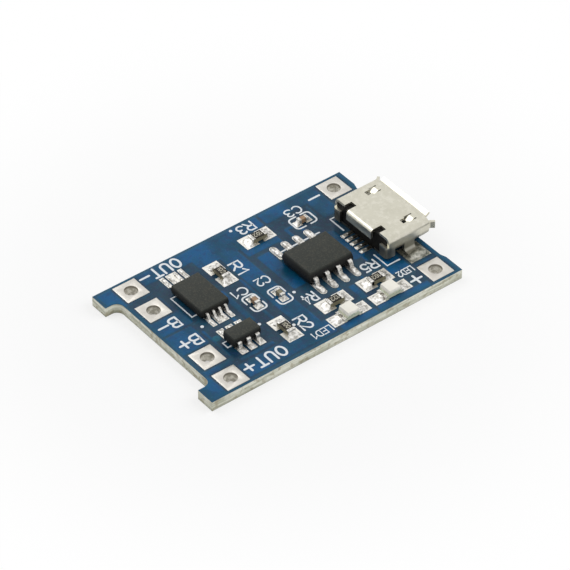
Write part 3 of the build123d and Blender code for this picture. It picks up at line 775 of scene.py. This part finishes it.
def lacquer_mesh():
    """A closed sheet: a fine grid, open at the pads, with a skirt that is sunk in the board."""
    columns = round((board_high.x - board_low.x) / lacquer_cell) + 1
    rows = round((board_high.y - board_low.y) / lacquer_cell) + 1
    across = np.linspace(board_low.x, board_high.x, columns)
    along = np.linspace(board_low.y, board_high.y, rows)
    x, y = np.meshgrid(across, along, indexing="ij")
    edge = outline_distance(x, y) + lacquer_inset
    slope_x, slope_y = np.gradient(edge, across[1] - across[0], along[1] - along[0])
    out = np.maximum(edge, 0)
    x = x - out * slope_x
    y = y - out * slope_y
    copper = copper_share(x, y)
    z = board_top + lacquer_thickness + copper_thickness * copper
    index = np.arange(x.size).reshape(x.shape)
    ring = [index[:-1, :-1], index[1:, :-1], index[1:, 1:], index[:-1, 1:]]
    cells = np.stack(ring, -1).reshape(-1, 4)
    kept = (edge.ravel()[cells] < 0).any(1)
    centre_x = x.ravel()[cells].mean(1)
    centre_y = y.ravel()[cells].mean(1)
    for name in terminals:
        pad = middle(name)
        hidden = np.maximum(np.abs(centre_x - pad.x), np.abs(centre_y - pad.y)) < pad_opening
        kept &= ~hidden
    points = np.stack([x.ravel(), y.ravel(), z.ravel()], -1) * MM
    mesh = bpy.data.meshes.new("blue_lacquer_sheet")
    mesh.from_pydata(points.tolist(), [], cells[kept].tolist())
    margin = np.clip(1 + (edge + out) / lacquer_margin, 0, 1)
    hold(mesh, "copper", copper.ravel())
    hold(mesh, "covered", covered_share(x, y).ravel())
    hold(mesh, "margin", margin.ravel())
    form = bmesh.new()
    form.from_mesh(mesh)
    bmesh.ops.delete(form, geom=[v for v in form.verts if not v.link_faces], context="VERTS")
    rim = [e for e in form.edges if e.is_boundary]
    skirt = bmesh.ops.extrude_edge_only(form, edges=rim)["geom"]
    for vert in [g for g in skirt if isinstance(g, bmesh.types.BMVert)]:
        vert.co.z = (board_top - lacquer_root) * MM
    foot = [e for e in form.edges if e.is_boundary]
    bmesh.ops.triangle_fill(form, edges=foot, use_beauty=False, normal=(0, 0, -1))
    bmesh.ops.recalc_face_normals(form, faces=form.faces)
    form.to_mesh(mesh)
    form.free()
    smooth_below(mesh, lacquer_turn)
    return mesh


new_piece("blue_lacquer_sheet", lacquer_mesh(), lacquer)


# White print: letters, signs and frames drawn as strokes

def arc(x, y, across, up, start, end, steps=10):
    """Points on an ellipse's arc, from start to end in degrees."""
    turns = [math.radians(start + (end - start) * step / steps) for step in range(steps + 1)]
    return [(x + across * math.cos(turn), y + up * math.sin(turn)) for turn in turns]


# Each letter's width and strokes, for a height of 1
letters = {
    "O": (0.64, [arc(0.32, 0.5, 0.32, 0.5, 0, 360, 20)]),
    "U": (0.6, [[(0, 1)] + arc(0.3, 0.3, 0.3, 0.3, 180, 360) + [(0.6, 1)]]),
    "T": (0.62, [[(0, 1), (0.62, 1)], [(0.31, 1), (0.31, 0)]]),
    "B": (0.66, [
        [(0, 0), (0, 1)] + arc(0.38, 0.77, 0.24, 0.23, 90, -90) + [(0, 0.54)],
        [(0.38, 0.54)] + arc(0.39, 0.27, 0.27, 0.27, 90, -90) + [(0, 0)],
    ]),
    "R": (0.66, [
        [(0, 0), (0, 1)] + arc(0.38, 0.74, 0.27, 0.26, 90, -90) + [(0, 0.48)],
        [(0.34, 0.48), (0.66, 0)],
    ]),
    "C": (0.7, [arc(0.38, 0.5, 0.38, 0.5, 45, 315, 16)]),
    "L": (0.5, [[(0, 1), (0, 0), (0.5, 0)]]),
    "E": (0.55, [[(0.55, 1), (0, 1), (0, 0), (0.55, 0)], [(0, 0.52), (0.45, 0.52)]]),
    "D": (0.62, [[(0, 0), (0, 1)] + arc(0.22, 0.5, 0.4, 0.5, 90, -90, 14) + [(0, 0)]]),
    "+": (0.8, [[(0, 0.45), (0.8, 0.45)], [(0.4, 0.05), (0.4, 0.85)]]),
    "-": (0.8, [[(0, 0.43), (0.8, 0.43)]]),
    "0": (0.6, [arc(0.3, 0.5, 0.3, 0.5, 0, 360, 18)]),
    "1": (0.32, [[(0, 0.72), (0.3, 1), (0.3, 0)]]),
    "2": (0.6, [arc(0.3, 0.7, 0.3, 0.3, 165, -35) + [(0, 0), (0.6, 0)]]),
    "3": (0.6, [arc(0.28, 0.76, 0.27, 0.24, 150, -90), arc(0.28, 0.27, 0.32, 0.27, 75, -150)]),
    "4": (0.62, [[(0.46, 0), (0.46, 1), (0, 0.3), (0.62, 0.3)]]),
    "5": (0.6, [[(0.55, 1), (0.1, 1), (0.04, 0.55)] + arc(0.28, 0.33, 0.32, 0.33, 125, -150)]),
}


def words(text, x, y, width, height, turn, gap=letter_gap):
    """A text's strokes, fitted to a box of a width and height about x, y and turned by degrees."""
    advance = sum(letters[letter][0] for letter in text) + gap * (len(text) - 1)
    spin = Matrix.Rotation(math.radians(turn), 2)
    strokes = []
    pen = 0.0
    for letter in text:
        letter_width, lines = letters[letter]
        for line in lines:
            local = [((pen + px) / advance - 0.5, py - 0.5) for px, py in line]
            turned = [spin @ Vector((px * width, py * height)) for px, py in local]
            strokes.append([(x + point.x, y + point.y) for point in turned])
        pen += letter_width + gap
    return strokes


def corner_frame(left, right, low, high, radius, gap_low, gap_high):
    """A rounded frame with a gap in its left and right side."""
    upper = [(left, gap_high)] + arc(left + radius, high - radius, radius, radius, 180, 90, 5)
    upper += arc(right - radius, high - radius, radius, radius, 90, 0, 5) + [(right, gap_high)]
    lower = [(left, gap_low)] + arc(left + radius, low + radius, radius, radius, 180, 270, 5)
    lower += arc(right - radius, low + radius, radius, radius, 270, 360, 5) + [(right, gap_low)]
    return [upper, lower]


def stroke_growth(graph, given):
    """A flat ribbon along each line, with a round dot at its ends and corners."""
    lines = graph.node("GeometryNodeMeshToCurve", sockets={"Mesh": given["Geometry"]})
    level = graph.node("GeometryNodeSetCurveNormal", {"mode": "Z_UP"}, {"Curve": lines})
    section = graph.node(
        "GeometryNodeCurvePrimitiveQuadrilateral",
        sockets={"Width": given["Width"], "Height": given["Thickness"]},
    )
    ribbon = graph.node(
        "GeometryNodeCurveToMesh",
        sockets={"Curve": level, "Profile Curve": section, "Fill Caps": True},
    )
    dot = graph.node(
        "GeometryNodeMeshCylinder",
        sockets={
            "Vertices": stroke_sides,
            "Radius": given["Width"] / 2,
            "Depth": given["Thickness"] - stroke_step * MM,
        },
    )
    turning = graph.held("turning")
    dots = graph.node(
        "GeometryNodeInstanceOnPoints",
        sockets={"Points": given["Geometry"], "Selection": turning, "Instance": dot},
    )
    return graph.node("GeometryNodeJoinGeometry", sockets={"Geometry": [ribbon, dots]})


stroke_tree = growth("printed_strokes", ["Width", "Thickness"], stroke_growth)


def turn_at(ring, place):
    """How many degrees a line turns at one of its points."""
    point = Vector(ring[place])
    before = point - Vector(ring[place - 1])
    after = Vector(ring[(place + 1) % len(ring)]) - point
    return math.degrees(before.angle(after, 0.0))


def printed(name, strokes, width, low, high, material, replaced=()):
    """Strokes as one piece between two heights."""
    points = []
    edges = []
    turning = []
    for number, stroke in enumerate(strokes):
        closed = len(stroke) > 2 and math.dist(stroke[0], stroke[-1]) < 1e-6
        ring = stroke[:-1] if closed else stroke
        first = len(points)
        level = (low + high) / 2 - number % stroke_levels * stroke_step
        points += [(x * MM, y * MM, level * MM) for x, y in ring]
        edges += [(first + place, first + place + 1) for place in range(len(ring) - 1)]
        if closed:
            edges.append((first + len(ring) - 1, first))
        for place, point in enumerate(ring):
            at_end = not closed and place in (0, len(ring) - 1)
            turning.append(float(at_end or turn_at(ring, place) > bend))
    mesh = bpy.data.meshes.new(name)
    mesh.from_pydata(points, edges, [])
    hold(mesh, "turning", turning)
    sizes = {"Width": width * MM, "Thickness": (high - low) * MM}
    return grow(name, mesh, stroke_tree, sizes, material, replaced)


# Lettering: each text, its middle, its width and height, and its turn in degrees
wire_texts = [
    ("OUT-", -7.13, 7.61, 4.15, 1.2, 180, big_letter_gap),
    ("OUT+", -6.98, -7.1, 4.3, 1.2, 180, big_letter_gap),
    ("B-", -10.8, 1.4, 2.0, 1.22, 180),
    ("B+", -10.68, -1.45, 2.05, 1.22, 180),
    ("-", 9.68, 7.0, 1.15, 1.3, 180),
    ("+", 9.75, -7.15, 1.15, 1.3, 180),
]
part_texts = [
    ("R1", -1.48, 3.73, 1.6, 1.06, -90),
    ("R2", -1.48, -5.45, 1.7, 1.06, -90),
    ("R3", 2.3, 7.55, 1.6, 1.1, 180),
    ("R4", 0.95, -3.28, 1.2, 1.15, 180),
    ("R5", 7.65, -3.2, 1.5, 1.05, 180),
]
small_texts = [
    ("C1", -3.38, 1.03, 1.42, 0.95, 180),
    ("C2", -0.88, 1.03, 1.3, 0.95, 180),
    ("C3", 7.02, 6.75, 1.6, 0.95, 180),
]
lamp_texts = [
    ("LED1", -0.96, -7.38, 1.95, 0.75, 180),
    ("LED2", 9.65, -5.7, 1.6, 0.68, 180),
]


def lettering(texts):
    """The strokes of several texts."""
    return [stroke for text in texts for stroke in words(*text)]


# Frames round the parts, the short lines between the charger chip's rear lands, and the dots
frames = [
    [(-8.0, 4.08), (-8.58, 4.08), (-8.58, 1.05), (-8.0, 1.05)],
    [(-8.0, -3.25), (-8.55, -3.25), (-8.55, -3.95), (-8.0, -3.95)],
    *corner_frame(-3.88, -2.53, -1.88, 0.3, 0.35, -1.1, -0.6),
    *corner_frame(-1.53, -0.17, -2.53, -0.28, 0.35, -1.7, -1.25),
    [(8.92, 1.95), (8.92, 3.85), (9.5, 3.85)],
    [(8.92, -2.3), (8.92, -4.13), (10.3, -4.13)],
    *[[(start, 3.06), (start + 0.45, 3.06)] for start in (2.8, 4.08, 5.32, 6.6)],
]
side_frame = [
    [
        (6.7, 6.03),
        *arc(6.15, 5.68, 0.35, 0.35, 90, 180, 5),
        *arc(6.15, 4.83, 0.35, 0.35, 180, 270, 5),
        (6.7, 4.48),
    ],
    [
        (7.25, 6.03),
        *arc(7.72, 5.68, 0.35, 0.35, 90, 0, 5),
        *arc(7.72, 4.83, 0.35, 0.35, 0, -90, 5),
        (7.25, 4.48),
    ],
]
dot_places = [(-8.65, -0.47), (0.33, -1.83), (1.0, 8.05), (-4.6, -3.25), (-2.32, -5.15)]
ink_top = board_top + print_height
inked = {
    "wire_marks": (lettering(wire_texts), bold_stroke),
    "part_marks": (lettering(part_texts), label_stroke),
    "small_marks": (lettering(small_texts), small_stroke),
    "lamp_marks": (lettering(lamp_texts), tiny_stroke),
    "part_frames": (frames + side_frame, frame_stroke),
    "first_lead_dots": ([[place] for place in dot_places], dot_stroke),
}
for name, (strokes, width) in inked.items():
    printed(name, strokes, width, print_root, ink_top, white_ink)


# Resistor digits

resistor_digits = {1: "102", 2: "100", 3: "102", 4: "122", 5: "102"}
digit_strokes = []
for number, text in resistor_digits.items():
    glaze = f"resistor_{number}_glaze"
    spot = middle(glaze)
    turn = -90 if runs_along_y(glaze) else 180
    digit_strokes += words(text, spot.x, spot.y, *digit_size, turn, digit_gap)
glaze_top = corners("resistor_1_glaze")[1].z
printed(
    "resistor_digits",
    digit_strokes,
    digit_stroke,
    glaze_top - digit_root,
    glaze_top + digit_rise,
    digit_ink,
)


# Smooth solder

def solder_growth(profile, end_power):
    """Puts one closed mound on each point. profile gives its height along it, from 0 to 1."""
    def build(graph, given):
        grid = graph.node(
            "GeometryNodeMeshGrid",
            sockets={
                "Size X": 1.0,
                "Size Y": 1.0,
                "Vertices X": solder_rows,
                "Vertices Y": solder_columns,
            },
        )
        spot = graph.node("GeometryNodeInputPosition")
        along = graph.node("ShaderNodeSeparateXYZ", sockets={0: spot}, output="X") + 0.5
        across = graph.node("ShaderNodeSeparateXYZ", sockets={0: spot}, output="Y") * 2
        spread = given["Crest"] + (1 - given["Crest"]) * (along ** 0.7)
        spread = spread * (1 - along ** end_power) ** 0.5
        side = (1 - abs(across) ** 4) ** 0.6
        flat = {"X": along * given["Length"], "Y": across * 0.5 * given["Width"] * spread}
        height = given["Height"] * profile(along) * side
        crown = graph.node("ShaderNodeCombineXYZ", sockets={**flat, "Z": height})
        sole = graph.node("ShaderNodeCombineXYZ", sockets={**flat, "Z": 0.0})
        top = graph.node("GeometryNodeSetPosition", sockets={"Geometry": grid, "Position": crown})
        base = graph.node("GeometryNodeSetPosition", sockets={"Geometry": grid, "Position": sole})
        turned_over = graph.node("GeometryNodeFlipFaces", sockets={"Mesh": base})
        both = graph.node("GeometryNodeJoinGeometry", sockets={"Geometry": [top, turned_over]})
        mound = graph.node(
            "GeometryNodeMergeByDistance",
            sockets={"Geometry": both, "Distance": seam_distance * MM},
        )
        heading = graph.node("ShaderNodeCombineXYZ", sockets={"Z": graph.held("turn")})
        return graph.node(
            "GeometryNodeInstanceOnPoints",
            sockets={"Points": given["Geometry"], "Instance": mound, "Rotation": heading},
        )
    return build


def hollow_slope(along):
    """Steep at the part's end and flat at the land's end."""
    return (1 - along) ** 1.7 * (1 - (1 - along) ** 30)


def drop_slope(along):
    """A drop: round at both ends, and highest a third of the way along."""
    return (along * 3) ** 0.5 * (1 - along ** 3) ** 0.75 * 0.8


solder_sizes = ["Length", "Width", "Height", "Crest"]
fillet_tree = growth("solder_fillets", solder_sizes, solder_growth(hollow_slope, square_end))
drop_tree = growth("solder_drops", solder_sizes, solder_growth(drop_slope, round_end))


def soldered(name, tree, seats, replaced, material=solder):
    """Mounds of one size. Each seat is x, y and the direction in degrees that the mound runs in."""
    mesh = bpy.data.meshes.new(name)
    mesh.from_pydata([(x * MM, y * MM, land_top * MM) for x, y, _ in seats], [], [])
    hold(mesh, "turn", [math.radians(turn) for _, _, turn in seats])
    length, width, height, crest = mound_sizes[name]
    sizes = {"Length": length * MM, "Width": width * MM, "Height": height * MM, "Crest": crest}
    return grow(name, mesh, tree, sizes, material, replaced, solder_turn)


def end_seats(nodes):
    """A seat at both ends of each small part, just inside the part, running outwards."""
    seats = []
    for node in nodes:
        low, high = corners(node)
        spot = middle(node)
        if runs_along_y(node):
            seats += [(spot.x, high.y - solder_tuck, 90), (spot.x, low.y + solder_tuck, -90)]
        else:
            seats += [(high.x - solder_tuck, spot.y, 0), (low.x + solder_tuck, spot.y, 180)]
    return seats


end_nodes = {
    "resistor": [f"resistor_{number}_ends" for number in range(1, 6)],
    "capacitor": [f"capacitor_{number}_ends" for number in range(1, 4)],
    "lamp": [f"lamp_{number}_plates" for number in (1, 2)],
}
for kind, nodes in end_nodes.items():
    soldered(f"{kind}_fillets", fillet_tree, end_seats(nodes), [f"{kind}_solder"])


def lead_seats(chip):
    """A seat on each land of a chip, running outwards."""
    count, pitch, inset = lead_rows[chip]
    low, high = corners(f"{chip}_lands")
    centre_x = middle(f"{chip}_lands").x
    seats = []
    for place in range(count):
        x = centre_x + pitch * (place - (count - 1) / 2)
        seats += [(x, high.y - inset, 90), (x, low.y + inset, -90)]
    return seats


# Tinned copper under the charger chip: a land with round ends for each lead, and the heat land
land_low, land_high = corners("charger_chip_lands")
land_radius = charger_land_width / 2
round_lands = []
for x, y, turn in lead_seats("charger_chip"):
    outer = land_high.y - land_radius if turn > 0 else land_low.y + land_radius
    round_lands.append([(x, outer), (x, outer - math.copysign(charger_land_reach, turn))])
heat_low, heat_high = corners("charger_chip_heat_pad")
heat_width = heat_high.y - heat_low.y
heat_y = middle("charger_chip_heat_pad").y
heat_line = [(heat_low.x + heat_width / 2, heat_y), (heat_high.x - heat_width / 2, heat_y)]
charger_lands = {
    "charger_chip_round_lands": (round_lands, charger_land_width),
    "charger_chip_heat_land": ([heat_line], heat_width),
}
for name, (strokes, width) in charger_lands.items():
    replaced = ["charger_chip_lands"]
    printed(name, strokes, width, print_root, land_top, tin, replaced)

soldered("charger_drops", drop_tree, lead_seats("charger_chip"), ["charger_chip_solder"])
soldered("transistor_drops", drop_tree, lead_seats("transistor"), ["transistor_solder"])
soldered("protector_drops", drop_tree, lead_seats("protector"), ["protector_solder"])

contact_x = corners("socket_contacts")[0].x + contact_reach
offsets = [place - (contact_count - 1) / 2 for place in range(contact_count)]
contact_seats = [(contact_x, contact_pitch * offset, 180) for offset in offsets]
tab_x, tab_y = tab_joint
tab_seats = [(tab_x, tab_y, 90), (tab_x, -tab_y, -90)]
soldered("contact_drops", fillet_tree, contact_seats, ["socket_solder"])
soldered("tab_drops", drop_tree, tab_seats, [], dull_solder)


# Moulded and metal parts

charger_high = corners("charger_chip_body")[1]
inset_x, inset_y = dimple_inset
dimples = {"charger_chip": (charger_high.x - inset_x, charger_high.y - inset_y)}
for chip in lead_rows:
    resin = resin_finish(chip, dimples.get(chip))
    softened(f"{chip}_body", f"{chip}_moulding", resin, mould_edge)
    softened(f"{chip}_leads", f"{chip}_bent_leads", tinned_lead, lead_edge)
for number in range(1, 6):
    part = f"resistor_{number}"
    softened(f"{part}_ends", f"{part}_caps", tinned_lead, cap_edge)
    paint_node(f"{part}_core", resistor_ceramic)
    softened(f"{part}_glaze", f"{part}_top", black_glaze, glaze_edge)
for number in range(1, 4):
    part = f"capacitor_{number}"
    softened(f"{part}_ends", f"{part}_caps", tinned_lead)
    paint_node(f"{part}_core", olive_ceramic if number == 2 else tan_ceramic)
for number in (1, 2):
    part = f"lamp_{number}"
    softened(f"{part}_lens", f"{part}_moulding", cream_lens, lens_edge)
    softened(f"{part}_plates", f"{part}_ends", tinned_lead)
    paint_node(f"{part}_base", lamp_laminate)
softened("socket_shell", "socket_folded_shell", plated_steel)
softened("socket_housing", "socket_insert", housing_plastic)
paint_node("socket_contacts", contact_plating)
paint_node("charger_chip_heat_pad", tinned_lead)
paint_node("circuit_board", laminate)
for name in terminals:
    pad = name.replace("_terminal", "_pad")
    softened(name, pad, wire_pad_tin, pad_edge)
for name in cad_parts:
    if name.endswith("_lands"):
        paint_node(name, dull_solder if name == "socket_lands" else tin)


# Floor, light and camera

def floor_material():
    """White floor: it keeps the module's shadow, and looks plain white away from it."""
    material = bpy.data.materials.new("white_floor")
    graph = blank_graph(material)
    reach = graph.maths("SQRT", graph.axis("X") ** 2 + graph.axis("Y") ** 2)
    far = graph.between(reach, floor_fade_start, floor_fade_end)
    glow = graph.viewed() * (floor_glow + (1 - floor_glow) * far)
    cloth = graph.node("ShaderNodeBsdfDiffuse", sockets={"Color": paint("#ffffff")})
    white = graph.node("ShaderNodeEmission", sockets={"Color": (1, 1, 1, 1), "Strength": 1.0})
    mixed = graph.node("ShaderNodeMixShader", sockets={0: glow, 1: cloth, 2: white})
    graph.node("ShaderNodeOutputMaterial", sockets={"Surface": mixed})
    return material


def make_floor():
    mesh = bpy.data.meshes.new("floor")
    signs = [(-1, -1), (1, -1), (1, 1), (-1, 1)]
    ring = [Vector((x * floor_reach, y * floor_reach, floor_level)) * MM for x, y in signs]
    mesh.from_pydata(ring, [], [(0, 1, 2, 3)])
    mesh.materials.append(floor_material())
    floor = placed("floor", mesh)


def make_sky():
    """White surroundings: full white where they are seen, and a plain level where they light."""
    world = bpy.data.worlds.new("sky")
    graph = blank_graph(world)
    level = sky_level + (1 - sky_level) * graph.viewed()
    sky = graph.node("ShaderNodeBackground", sockets={"Color": (1, 1, 1, 1), "Strength": level})
    graph.node("ShaderNodeOutputWorld", sockets={"Surface": sky})
    bpy.context.scene.world = world


def turned_to(place, target):
    return (target - place).to_track_quat("-Z", "Y").to_matrix().to_4x4()


def make_lamp(name, place, size, power, mirrored=True):
    """A square lamp aimed at the module. One that isn't mirrored puts no glare on metal."""
    light = bpy.data.lights.new(name, "AREA")
    light.size = size * MM
    light.energy = power
    lamp = placed(name, light)
    lamp.matrix_world = Matrix.Translation(place * MM) @ turned_to(place, Vector((0, 0, 0)))
    lamp.visible_glossy = mirrored


def make_camera():
    camera = bpy.data.cameras.new("camera")
    camera.lens = lens
    camera.sensor_width = sensor
    camera.clip_start = near_clip * MM
    camera.clip_end = far_clip * MM
    viewer = placed("camera", camera)
    place = aim + view_direction.normalized() * view_distance
    viewer.matrix_world = Matrix.Translation(place * MM) @ turned_to(place, aim)
    bpy.context.scene.camera = viewer


make_floor()
make_sky()
make_lamp("key", key_place, key_size, key_power)
make_lamp("fill", fill_place, fill_size, fill_power, mirrored=False)
make_camera()
bpy.context.scene.view_settings.view_transform = "Standard"
